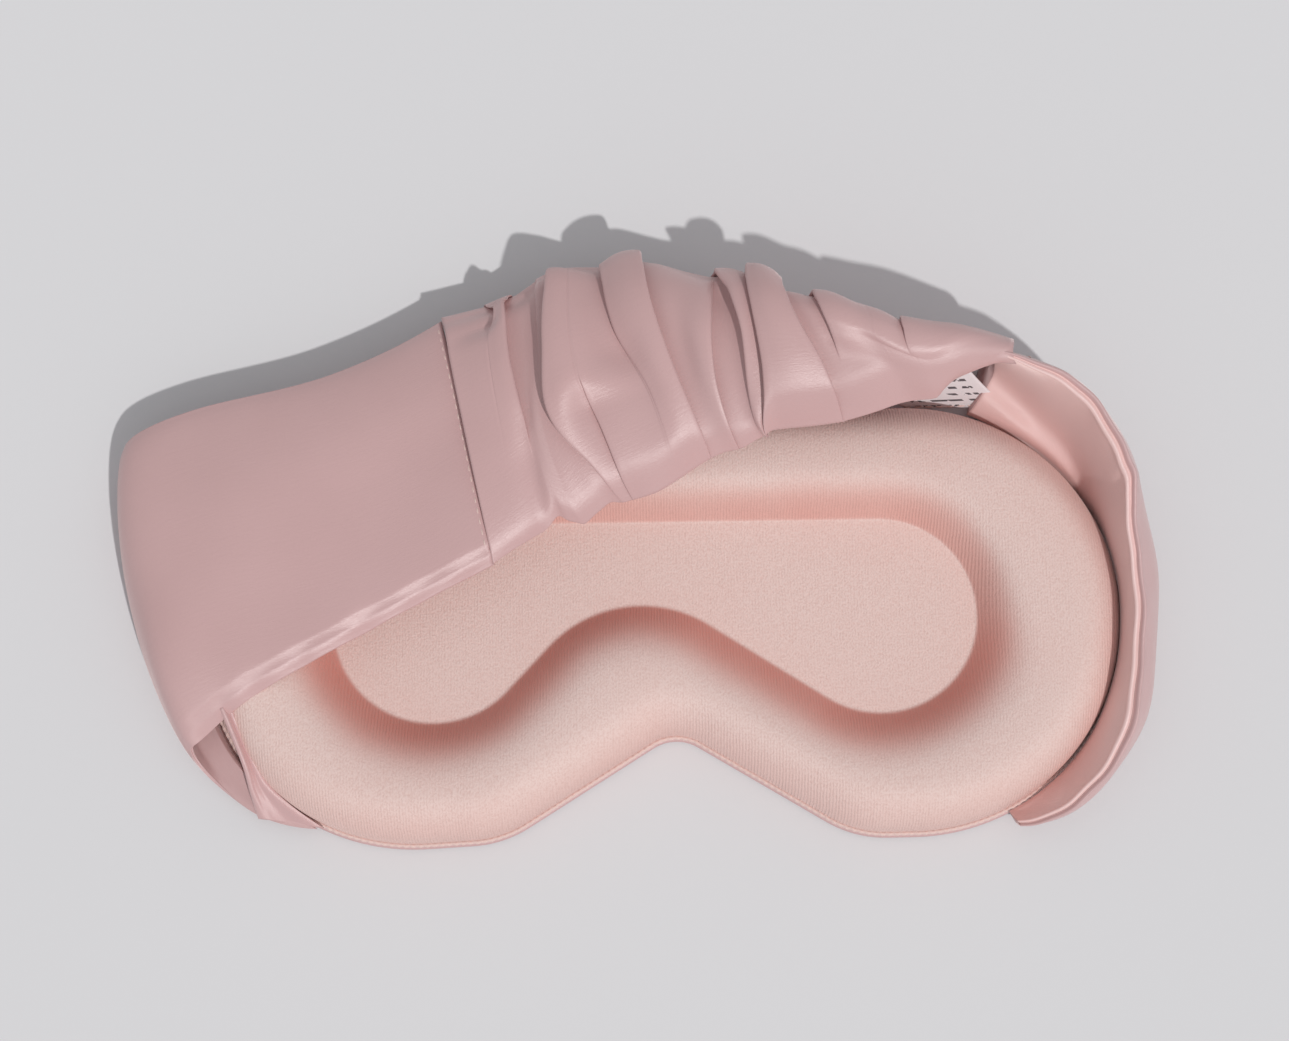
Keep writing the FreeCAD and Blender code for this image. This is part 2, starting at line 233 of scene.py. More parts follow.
def satin_material(name, face, deep):
    """Smooth polyester satin: fine floats along the band, soft sheen, slightly uneven tone."""
    material, tree, shader, place = node_material(
        name, Anisotropic=0.8, Specular_IOR_Level=0.9, Sheen_Weight=0.6, Sheen_Roughness=0.3,
        Sheen_Tint=(1.0, 0.86, 0.84, 1.0))
    floats = noise(tree, scaled(tree, place.outputs["UV"], (1500.0, 4200.0, 1.0)), 1.0, 3.0, 0.7)
    blotch = noise(tree, place.outputs["Object"], 38.0, 3.0)
    tone = math_node(tree, "MULTIPLY_ADD", blotch, 0.55, math_node(tree, "MULTIPLY", floats, 0.5))
    colour = mix_colour(tree, tone, deep, face)
    tree.links.new(colour, shader.inputs["Base Color"])
    rough = math_node(tree, "MULTIPLY_ADD", floats, 0.16, 0.33)
    along = node(tree, "ShaderNodeTangent", direction_type="UV_MAP", uv_map="cloth")
    tree.links.new(along.outputs[0], shader.inputs["Tangent"])
    tree.links.new(rough, shader.inputs["Roughness"])
    slub = noise(tree, scaled(tree, place.outputs["UV"], (260.0, 1500.0, 1.0)), 1.0, 3.0)
    height = math_node(tree, "MULTIPLY_ADD", slub, 0.5, math_node(tree, "MULTIPLY", floats, 0.5))
    bump(tree, shader, height, 0.5, 0.0002)
    return material


def jersey_material(name, face, deep):
    """Fine warp-knit jersey: wales along Y, tiny sparkling loops, and painted shade: a deeper, redder colour
    on steep faces, strongest low on the hollow's walls.
    """
    material, tree, shader, place = node_material(
        name, Roughness=0.62, Specular_IOR_Level=0.35, Sheen_Weight=0.35, Sheen_Roughness=0.5,
        Sheen_Tint=(1.0, 0.85, 0.8, 1.0))
    parts = node(tree, "ShaderNodeSeparateXYZ", [(place.outputs["Object"], 0)])
    wobble = noise(tree, place.outputs["Object"], 260.0, 2.0)
    shifted = math_node(tree, "MULTIPLY_ADD", wobble, 0.0004, parts.outputs[0])
    wale = math_node(tree, "SINE", math_node(tree, "MULTIPLY", shifted, 2 * math.pi / WALE_PITCH))
    loops = noise(tree, scaled(tree, place.outputs["Object"], (2600.0, 1900.0, 1900.0)), 1.0, 2.0, 0.6)
    spark = math_node(tree, "SMOOTH_MIN", math_node(tree, "POWER", loops, 2.0), 1.0, 0.1)
    # painted shade: steep faces mix towards the deep colour, much more so on the hollow's lower walls that
    # face away from the key light
    steep = node(tree, "ShaderNodeSeparateXYZ", [(node(tree, "ShaderNodeNewGeometry").outputs["Normal"], 0)])
    upright = math_node(tree, "SUBTRACT", 1.0, math_node(tree, "ABSOLUTE", steep.outputs[2]))
    blotch = noise(tree, place.outputs["Object"], 45.0, 3.0)
    hollow = node(tree, "ShaderNodeAttribute", attribute_name="hollow").outputs["Fac"]
    painted_wall_shade = math_node(tree, "MULTIPLY", upright, math_node(tree, "MULTIPLY_ADD", hollow, -2.1, -0.3))
    tone = math_node(tree, "ADD", painted_wall_shade, math_node(tree, "MULTIPLY_ADD", blotch, 0.3, 0.85))
    wale = math_node(tree, "MULTIPLY", wale, math_node(tree, "MULTIPLY_ADD", upright, 0.9, 0.25))
    grain = math_node(tree, "MULTIPLY_ADD", wale, -0.12, math_node(tree, "MULTIPLY_ADD", spark, -1.5, 0.5))
    made = mix_colour(tree, grain, mix_colour(tree, tone, deep, face), (0.62, 0.36, 0.31))
    tree.links.new(made, shader.inputs["Base Color"])
    height = math_node(tree, "MULTIPLY_ADD", wale, 0.5, math_node(tree, "MULTIPLY", loops, 1.4))
    bump(tree, shader, height, 0.6, 0.0002)
    return material


def grained_material(name, colour, dark, stretch, scale, detail, roughness, relief=None, **values):
    """One colour with a fine grain, down to its share dark; relief is the bump's strength and distance."""
    material, tree, shader, place = node_material(name, **values)
    grain = noise(tree, scaled(tree, place.outputs["Object"], stretch), scale, detail, roughness)
    mixed = mix_colour(tree, grain, tuple(c * dark for c in colour), colour)
    tree.links.new(mixed, shader.inputs["Base Color"])
    if relief:
        bump(tree, shader, grain, *relief)
    return material


def thread_material(name, colour):
    """Spun thread: a fine grain drawn out across it, and a little fuzz."""
    return grained_material(name, colour, 0.72, (5200.0, 2600.0, 2600.0), 1.0, 1.0, 0.5, (0.5, 0.0001),
                            Roughness=0.6, Sheen_Weight=0.2)


def tape_material(name, colour, ink):
    """Woven label tape with rows of small printed bars that stand in for the care text."""
    material, tree, shader, place = node_material(name, Roughness=0.45, Sheen_Weight=0.2)
    parts = node(tree, "ShaderNodeSeparateXYZ", [(place.outputs["UV"], 0)])
    across, up = parts.outputs[0], parts.outputs[1]
    row = math_node(tree, "FRACT", math_node(tree, "DIVIDE", up, PRINT_PITCH))
    in_row = math_node(tree, "COMPARE", row, 0.5, 0.16)
    words = noise(tree, scaled(tree, place.outputs["UV"], (900.0, 416.0, 1.0)), 1.0, 0.0)
    in_word = math_node(tree, "GREATER_THAN", words, 0.5)
    margin = math_node(tree, "COMPARE", across, 0.0125, 0.0095)
    printed = math_node(tree, "MULTIPLY", math_node(tree, "MULTIPLY", in_row, in_word), margin)
    weave = noise(tree, scaled(tree, place.outputs["UV"], (4000.0, 4000.0, 1.0)), 1.0, 1.0)
    base = mix_colour(tree, weave, tuple(c * 0.86 for c in colour), colour)
    tree.links.new(mix_colour(tree, printed, base, ink), shader.inputs["Base Color"])
    bump(tree, shader, weave, 0.3, 0.0001)
    return material


satin = satin_material("satin_pink", (0.68, 0.445, 0.44), (0.56, 0.35, 0.345))
# a paler copy of the satin: painted light for the right panel's inner ply
satin_painted_bright = satin_material("satin_pink_painted_bright", (0.93, 0.67, 0.645), (0.83, 0.56, 0.53))
# the jersey's second colour is the painted shade tone of steep and hollow walls
jersey = jersey_material("jersey_pink", (0.83, 0.635, 0.59), (0.74, 0.27, 0.215))
thread = thread_material("thread_pink", (0.88, 0.66, 0.61))
foam = grained_material("foam_white", (0.85, 0.82, 0.78), 0.7, (1, 1, 1), 1400.0, 3.0, 0.6, (0.6, 0.0004),
                        Roughness=0.9)
tape = tape_material("label_tape_white", (0.88, 0.84, 0.86), (0.10, 0.09, 0.10))
elastic = thread_material("elastic_white", (0.86, 0.84, 0.82))
floor_grey = grained_material("floor_grey", (0.75, 0.75, 0.765), 0.995, (1, 1, 1), 300.0, 2.0, 0.5,
                              Roughness=0.9, Specular_IOR_Level=0.0)

# ---------------------------------------------------------------- the pad
# pulleys that a belt runs round: x, y, radius, and +1 inside the belt or -1 outside it
PAD_BELT = [(50, -26.5, 26, 1), (SIDE_X, SIDE_Y, SIDE_RADIUS, 1), (-62, -2.5, 50.5, 1), (-50, -26.5, 26, 1),
            (0, -40.5, 12, -1)]
HOLLOW_BELT = [(49.5, -1.4, 24, 1), (-57.5, -1.2, 24.5, 1), (-8, -28.4, 30, -1)]


def belt(pulleys, grow, step=0.9):
    """Closed outline round the pulleys, counter-clockwise from the middle of the last one; grown outwards."""
    pulleys = [(x, y, r + s * grow, s) for x, y, r, s in pulleys]
    count = len(pulleys)
    runs = []
    for i in range(count):
        (x1, y1, r1, s1), (x2, y2, r2, s2) = pulleys[i], pulleys[(i + 1) % count]
        length = math.hypot(x2 - x1, y2 - y1)
        heading = math.atan2(y2 - y1, x2 - x1) - math.asin((s2 * r2 - s1 * r1) / length)
        left = np.array([-math.sin(heading), math.cos(heading)])
        runs.append((np.array([x1, y1]) - left * s1 * r1, np.array([x2, y2]) - left * s2 * r2))
    parts = []
    for i, (x, y, r, s) in enumerate(pulleys):
        arrive, leave = runs[i - 1][1], runs[i][0]
        a0 = math.atan2(arrive[1] - y, arrive[0] - x)
        a1 = math.atan2(leave[1] - y, leave[0] - x)
        turn = (a1 - a0) % (2 * math.pi) if s > 0 else -((a0 - a1) % (2 * math.pi))
        steps = max(2, int(abs(turn) * r / step))
        angles = a0 + turn * np.arange(steps) / steps
        parts.append(np.stack([x + r * np.cos(angles), y + r * np.sin(angles)], axis=1))
        start, end = runs[i]
        steps = max(2, int(np.linalg.norm(end - start) / step))
        parts.append(start + (end - start) * (np.arange(steps) / steps)[:, None])
    return np.concatenate(parts)


def at_shares(loop, keys, per_sector):
    """Points of a closed loop, evenly spaced between its points nearest to each key."""
    nearest = [int(np.argmin(np.linalg.norm(loop - np.array(key), axis=1))) for key in keys]
    length = np.linalg.norm(np.roll(loop, -1, axis=0) - loop, axis=1)
    running = np.concatenate([[0], np.cumsum(length)])
    total = running[-1]
    ring = np.concatenate([loop, loop[:1]])
    made = []
    for i, (first, steps) in enumerate(zip(nearest, per_sector)):
        a, b = running[first], running[nearest[(i + 1) % len(nearest)]]
        b = b if b > a else b + total
        places = (a + (b - a) * np.arange(steps) / steps) % total
        made.append(np.stack([np.interp(places, running, ring[:, k]) for k in (0, 1)], axis=1))
    return np.concatenate(made)


def distance(points, loop):
    """Distance from each point to a closed loop."""
    a = loop
    b = np.roll(loop, -1, axis=0)
    best = np.full(len(points), 1e9)
    for start in range(0, len(points), 2000):
        p = points[start:start + 2000, None, :]
        t = np.clip(((p - a) * (b - a)).sum(-1) / ((b - a) ** 2).sum(-1), 0, 1)
        best[start:start + 2000] = np.linalg.norm(p - (a + t[..., None] * (b - a)), axis=-1).min(axis=1)
    return best


# plan points where each outline is split, so that the same share of one faces the same share of the other
HOLLOW_KEYS = [(-8, 1.6), (20, -13.5), (49.5, -25.5), (66.5, -18.5), (73.5, -1.5), (66.5, 15.5),
               (49.5, 22.5), (-4, 22.5), (-57.5, 22.5), (-74.5, 15.5), (-81.5, -1.5), (-74.5, -18.5),
               (-57.5, -25.5), (-28, -13.5)]
PAD_KEYS = [(0, -28.5), (18, -38.5), (46, -52.5), (83, -43), (107, -2), (92, 34), (56.3, 48.5), (0, 48.5),
            (-62, 48), (-98, 33), (-112.5, -2), (-89, -43.5), (-48, -52.5), (-18, -38.5)]
SECTOR_STEPS = (34, 34, 24, 30, 30, 30, 60, 60, 30, 30, 30, 24, 34, 34)

# height gained over distance, from the hollow's floor up its wall and from the outline up the side
WALL_RISE = ((0, 0), (0.3, 0.25), (0.6, 0.9), (1.2, 2.3), (2, 4.2), (3, 6.4), (4, 8.3), (5, 9.8), (6.5, 11.4),
             (8.5, 12.6), (11, 13.2), (14, 13.5), (60, 13.6))
SIDE_RISE = ((0, 2.2), (0.12, 5), (0.5, 9), (1.7, 12.5), (4, 16), (7, 18.3), (10, 19.3), (14, 19.6),
             (60, 19.6))
FLOOR_TOP = 5.9


def pad_height(points, floor_edge, outline, wall, side, stretch):
    """Height of the pad's back at points between the hollow's floor and the outline.

    Also how far up the hollow's wall each point lies. stretch makes the wall gentler.
    """
    inner = distance(points, floor_edge) / stretch
    outer = distance(points, outline)
    rise_in = FLOOR_TOP + np.interp(inner, *zip(*wall))
    rise_out = np.interp(outer, *zip(*side))
    blend = 1.6
    gap = np.clip(0.5 + 0.5 * (rise_out - rise_in) / blend, 0, 1)
    return rise_out * (1 - gap) + rise_in * gap - blend * gap * (1 - gap), inner


def smooth_table(table, passes=3):
    """The same rise with its corners rounded."""
    x = np.unique(np.concatenate([np.arange(0, 3, 0.05), np.arange(3, 20, 0.25), [60]]))
    y = np.interp(x, *zip(*table))
    fine = np.arange(0, 20, 0.05)
    values = np.interp(fine, x, y)
    for _ in range(passes):
        spread = np.minimum(fine * 5, 8).astype(int)
        values = np.array([values[max(i - s, 0):i + s + 1].mean() for i, s in enumerate(spread)])
    return list(zip(np.append(fine, 60), np.append(values, values[-1])))


def pad_mesh(name, skin, material, bottom, closed):
    """The moulded pad. skin moves its back and sides outwards, bottom is the height where its sides end, and
    closed gives it an underside."""
    floor_edge = belt(HOLLOW_BELT, -skin)
    outline = belt(PAD_BELT, skin)
    inner = at_shares(floor_edge, HOLLOW_KEYS, SECTOR_STEPS)
    outer = at_shares(outline, PAD_KEYS, SECTOR_STEPS)
    way = unit(outer - inner)
    width = np.linalg.norm(outer - inner, axis=1)
    near = np.array([0, 0.15, 0.35, 0.6, 0.9, 1.3, 1.8, 2.4, 3.1, 4, 5, 6.2, 7.5, 9])
    edge = np.array([0, 0.06, 0.12, 0.25, 0.5, 0.9, 1.4, 2.1, 3, 4, 5.3, 6.8, 8.5])
    middle = np.linspace(0, 1, 9)[1:-1]
    rings = [inner + way * d for d in near]
    for share in middle:
        rings.append(inner + way * (near[-1] + (width - near[-1] - edge[-1]) * share)[:, None])
    rings += [outer - way * e for e in edge[::-1]]
    count = len(inner)
    flat = np.concatenate(rings)
    wall, side = smooth_table(WALL_RISE), smooth_table(SIDE_RISE)
    stretch = np.tile(1 + 0.75 * ease((0.25 - way[:, 1]) / 0.9), len(rings))
    high, up_wall = pad_height(flat, floor_edge, outline, wall, side, stretch)
    high = high + (skin - LINING_GAUGE)
    floor_top = FLOOR_TOP + skin - LINING_GAUGE
    high[:count] = floor_top
    points = np.column_stack([flat, high])
    rows = len(rings)
    points = np.concatenate([points, np.column_stack([outer, np.full(count, bottom)])])
    faces = [f[::-1] for f in grid_faces(rows + 1, count, wrap_columns=True)]
    inset = at_shares(belt(HOLLOW_BELT, -skin - 0.5), HOLLOW_KEYS, SECTOR_STEPS)
    start = len(points)
    points = np.concatenate([points, np.column_stack([inset, np.full(count, floor_top)])])
    faces += [(start + i, start + (i + 1) % count, (i + 1) % count, i)[::-1] for i in range(count)]
    faces.append(tuple(start + i for i in range(count)))
    if closed:
        faces.append(tuple(rows * count + i for i in range(count))[::-1])
    pad = add_mesh(name, points, faces, material)
    # mask of painted shade: strongest low on the hollow's walls and on its lower side, which faces away from
    # the key light
    hollow = np.zeros(len(points))
    hollow[:len(flat)] = (1 - ease((up_wall - 4.5) / 6)) * (stretch - 0.75)
    pad.data.attributes.new("hollow", "FLOAT", "POINT").data.foreach_set("value", hollow)
    return pad


lining = pad_mesh("jersey_lining", LINING_GAUGE, jersey, 1.9, False)
core = pad_mesh("foam_pad", -0.2, foam, 1.6, True)


COVER_PROFILE = ((-3.0, 0.0), (-1.2, 0.03), (-0.3, 0.12), (0.5, 0.32), (1.2, 0.62), (1.75, 1.0), (1.95, 1.35),
                 (1.8, 1.65), (1.3, 1.85), (0.4, 1.95))


def front_cover(name, material):
    """The satin front under the foam: loops at (grow, height) pairs, closed by flat faces."""
    loops = [at_shares(belt(PAD_BELT, grow), PAD_KEYS, SECTOR_STEPS) for grow, _ in COVER_PROFILE]
    count = len(loops[0])
    points = [np.column_stack([loop, np.full(count, z)]) for loop, (_, z) in zip(loops, COVER_PROFILE)]
    faces = grid_faces(len(loops), count, wrap_columns=True)
    faces.append(tuple(range(count)))
    last = (len(loops) - 1) * count
    faces.append(tuple(last + i for i in range(count))[::-1])
    return add_mesh(name, np.concatenate(points), faces, material)


cover = front_cover("satin_front", satin)


def overlock_rope(name, material):
    """The stitched seam round the pad: slanting thread loops laid on a thin cord."""
    path = belt(PAD_BELT, 1.0, 0.4)
    length = running_length(path)
    turns = int(length[-1] / 1.7)
    around = 8
    points = []
    nxt = np.roll(path, -1, axis=0)
    out = unit(np.stack([nxt[:, 1] - path[:, 1], path[:, 0] - nxt[:, 0]], axis=1))
    for i, (p, o) in enumerate(zip(path, out)):
        phase = 2 * math.pi * turns * length[i] / (length[-1] + 0.4)
        for k in range(around):
            a = 2 * math.pi * k / around
            r = 0.5 + 0.14 * math.cos(phase + a)
            reach = r * math.cos(a)
            points.append((p[0] + o[0] * reach, p[1] + o[1] * reach, 2.0 + 0.95 * r * math.sin(a)))
    return add_mesh(name, points, grid_faces(len(path), around, True, True), material)


overlock = overlock_rope("perimeter_stitching", thread)


# ---------------------------------------------------------------- strap bands
# a rolled hem from one ply to the other: share of the way across, and how far it stands out
HEM_PROFILE = ((0.0, 0.35), (0.12, 0.62), (0.3, 0.55), (0.43, 0.15), (0.5, -0.1), (0.57, 0.15),
               (0.7, 0.55), (0.88, 0.62), (1.0, 0.35))


def band(name, outer, inner, material, ends=(True, True)):
    """A double-ply band from the points of its outer and inner ply, with a rolled hem along both edges."""
    def hem(start, finish, way):
        thick = np.clip(np.linalg.norm(start - finish, axis=-1, keepdims=True), 0.4, 3.6)
        return [start + (finish - start) * s + way * thick * out * 0.5 for s, out in HEM_PROFILE]

    high = unit(unit(outer[:, -1] - outer[:, -2]) + unit(inner[:, -1] - inner[:, -2]))
    low = unit(unit(outer[:, 0] - outer[:, 1]) + unit(inner[:, 0] - inner[:, 1]))
    across = outer.shape[1]
    columns = [outer[:, j] for j in range(across)]
    columns += hem(outer[:, -1], inner[:, -1], high)
    columns += [inner[:, j] for j in range(across - 1, -1, -1)]
    columns += hem(inner[:, 0], outer[:, 0], low)
    points = np.stack(columns, axis=1)
    rows, count = points.shape[:2]
    faces = grid_faces(rows, count, wrap_columns=True)
    extra = len(HEM_PROFILE)
    for start, wanted, flip in ((0, ends[0], False), ((rows - 1) * count, ends[1], True)):
        if not wanted:
            continue
        made = []
        for j in range(across - 1):
            mate = 2 * across + extra - 1 - j
            made.append((start + j, start + j + 1, start + mate - 1, start + mate))
        made.append(tuple(start + across - 1 + k for k in range(extra + 2)))
        made.append(tuple(start + (2 * across + extra - 1 + k) % count for k in range(extra + 2)))
        faces += [f[::-1] if flip else f for f in made]
    u = cloth_length(points, 0)
    v = cloth_length(points, 1)
    return add_mesh(name, points.reshape(-1, 3), faces, material, np.stack([u, v], axis=-1).reshape(-1, 2))


def stitches(name, rows, material, pitch=2.6, length=1.9, radius=0.22):
    """Short thread stitches along lines of points with normals, each line a (points, normals) pair."""
    points, faces = [], []
    for line, up in rows:
        running = running_length(line)
        for k in range(int(running[-1] / pitch)):
            places = k * pitch + pitch / 2 + np.linspace(-length / 2, length / 2, 5)
            mid = np.stack([np.interp(places, running, line[:, i]) for i in range(3)], axis=1)
            lift = np.stack([np.interp(places, running, up[:, i]) for i in range(3)], axis=1)
            side = unit(np.cross(np.gradient(mid, axis=0), lift))
            start = len(points)
            for m, n, s, r in zip(mid, lift, side, (0.35, 0.85, 1.0, 0.85, 0.35)):
                for a in range(6):
                    turn = math.pi * a / 3
                    spoke = s * math.cos(turn) + n * math.sin(turn)
                    points.append(m + spoke * radius * r + n * (r - 0.6) * radius)
            faces += grid_faces(5, 6, wrap_columns=True, start=start)
            faces.append(tuple(range(start, start + 6))[::-1])
            faces.append(tuple(range(start + 24, start + 30)))
    return add_mesh(name, points, faces, material)


def beside(side, angle, out, height):
    """A point beside the mask, out mm from the pad's outline, measured round its side circle."""
    turn = math.radians(angle)
    reach = SIDE_RADIUS + out
    return (side * (SIDE_X + reach * math.cos(turn)), SIDE_Y + reach * math.sin(turn), height)


# left panel: out from the mask's edge, round a fold, and back over the mask to the gathered sleeve
LEFT_NET = [
    [beside(-1, angle, out, high) for angle, out, high in (
        (58, 4.9, 2.8), (29, 7.0, 2.8), (0, 8.0, 2.8), (-29, 7.4, 3.2), (-58, 5.6, 3.6))],
    [(-104, 46, 2.7), (-115.5, 26, 2.6), (-118.5, 1, 2.6), (-113, -24, 2.8), (-99.5, -46.2, 3.4)],
    [(-121, 43, 3.4), (-126, 23.5, 3.2), (-125.5, 2, 3.4), (-120.5, -18.5, 3.6), (-110, -38, 4.2)],
    [(-130.8, 41.2, 9.5), (-131, 24, 11), (-128.5, 5.5, 11.5), (-123.5, -13, 10.8), (-115, -31, 8.4)],
    [(-127.2, 44.8, 15), (-126.5, 26, 18.5), (-123.5, 8, 19.3), (-119, -10.5, 18.2), (-111.5, -28, 13)],
    [(-112.5, 50.2, 16.5), (-111, 31.5, 20.5), (-108, 14, 21.5), (-104, -3, 21.5), (-97.5, -18.3, 20.5)],
    [(-81.3, 57.5, 17), (-79, 42, 21.5), (-76, 26.5, 22.5), (-73.5, 11, 22.5), (-70, -3.6, 22.3)],
    [(-54.3, 70.5, 16), (-51, 56, 22), (-48, 41, 23.2), (-45, 25.5, 23.5), (-42, 10.4, 23.5)],
]


def left_panel():
    """Outer and inner ply of the left panel, with its ripples and the strip along its lower hem."""
    u, v = np.linspace(0, 1, 190), np.linspace(0, 1, 72)
    centre = surface(LEFT_NET, u, v)
    up = normals(centre)
    up *= np.sign(up[-1, 36, 2])
    U, V = np.meshgrid(u, v, indexing="ij")
    low_edge = ease((V - 0.9) / 0.1)
    ripple = 0.35 * np.sin(U * 95) * low_edge * ease((U - 0.62) / 0.05)
    ripple += 0.5 * bump_at(U, 0.79, 0.012) * low_edge - 0.5 * bump_at(U, 0.84, 0.015) * low_edge
    ripple += 0.5 * np.sin(U * 16 + V * 5) * np.sin(V * math.pi)
    off_hem = (1 - V) * STRAP_WIDTH
    turned = ease((U - 0.5) / 0.1)
    ripple -= turned * (0.35 * softplus(3.6 - off_hem, 0.5) + 0.45 * bump_at(off_hem, 3.4, 0.55))
    centre = centre + up * ripple[..., None]
    half = (0.5 + 0.9 * (1 - np.exp(-np.minimum(V, 1 - V) * STRAP_WIDTH / 2.0)))[..., None]
    return centre + up * half, centre - up * (half * 0.6)


left_outer, left_inner = left_panel()
left = band("left_strap_panel", left_outer, left_inner, satin)


def left_corner():
    """The panel's pinched cheek corner: a ridge beside the pad, and cloth from it back to the seam."""
    net = [[(-107, -21.5, 17), (-105, -21, 16.2)], [(-102.2, -34.5, 12.5), (-99.6, -34.3, 11)],
           [(-100.9, -41, 8), (-95.5, -41, 7.5)], [(-99.5, -46.8, 3.6), (-84.5, -49.4, 3.2)]]
    share = np.linspace(0, 1, 24)
    plan = surface(net, np.linspace(0, 1, 60), share)
    plan[..., 2] += 0.8 * bump_at(share * 12, 0.8, 0.9) + 0.3 * np.sin(share * 9)
    lift = normals(plan)
    lift *= np.sign(lift[30, 12, 2])
    return band("left_panel_corner", plan + lift * 0.45, plan - lift * 0.35, satin)


corner = left_corner()

# gathered sleeve: each row runs along one fold, from the hem over the mask to the forehead hem
SLEEVE_NET = [
    [(-42.6, 10.1, 24.3), (-46.6, 29.9, 25.2), (-50.5, 49.7, 24.2), (-53.1, 62.6, 21.7), (-54.4, 68.2, 19.2),
     (-54.9, 70.3, 17.8), (-55.2, 71.8, 16)],
    [(-29.9, 17.6, 24.5), (-33.1, 35.5, 26.5), (-35.9, 54.9, 26), (-37.3, 67.9, 23), (-38, 73, 19.5),
     (-38.2, 75, 17.8), (-38.3, 76.3, 16)],
    [(-16.8, 22.2, 25), (-26.8, 41, 28), (-28.6, 60.3, 28.5), (-28.8, 73.3, 25), (-28.8, 78.6, 20.8),
     (-28.7, 80.5, 18.8), (-28.7, 81.6, 16.8)],
    [(-2.7, 26.7, 28.5), (-5.7, 47.2, 30.5), (-12.4, 64.3, 30.5), (-14.9, 75.2, 26), (-16, 80.2, 21),
     (-16.4, 82.2, 18.5), (-16.5, 83.2, 16)],
    [(9.6, 33.6, 29.5), (3.3, 50.3, 32), (-2.9, 68.6, 32), (-5.1, 78.4, 27), (-6, 82.2, 21),
     (-6.2, 84, 17), (-6.4, 84.8, 13.5)],
    [(19.8, 36.9, 31.5), (15.4, 49.6, 34), (11.8, 62.9, 34), (9.5, 72.4, 30), (8.8, 77.7, 24),
     (8.4, 79.5, 16), (8.2, 79.5, 8.5)],
    [(23.2, 38.8, 34), (22.7, 52.6, 36.6), (20.9, 65.7, 36.5), (19.3, 72.7, 33), (18.7, 76.9, 27),
     (18.3, 77.5, 18), (18, 77.5, 9)],
    [(40.1, 40.2, 36), (35.9, 53.8, 38.8), (31.4, 62.9, 40), (28.6, 68, 38), (27.1, 71.1, 33),
     (26.3, 73, 22), (26, 73.5, 9)],
    [(53.5, 43.6, 38), (49, 52.5, 40.2), (44.8, 59, 42), (42.2, 63.7, 42.2), (40.4, 67.6, 37),
     (39.5, 70, 23), (39, 71, 6)],
    [(63.4, 44.8, 38.5), (61.4, 48.6, 39.8), (59.4, 53.4, 41), (57, 58, 42.6), (55.4, 62.2, 38),
     (54.6, 65.5, 22), (54, 67, 4)],
    [(69.2, 49.4, 36), (68.2, 51.8, 39), (68, 55.6, 40.6), (68.3, 58.8, 39), (67.9, 61, 32),
     (67.3, 63.2, 18), (66.5, 64, 3.4)],
    [(81.6, 54.2, 38.2), (81.8, 55.7, 36), (82, 57, 33), (82.1, 58.4, 28), (82.2, 59.8, 21),
     (82.2, 61.2, 12), (82.2, 62.2, 2.8)],
]

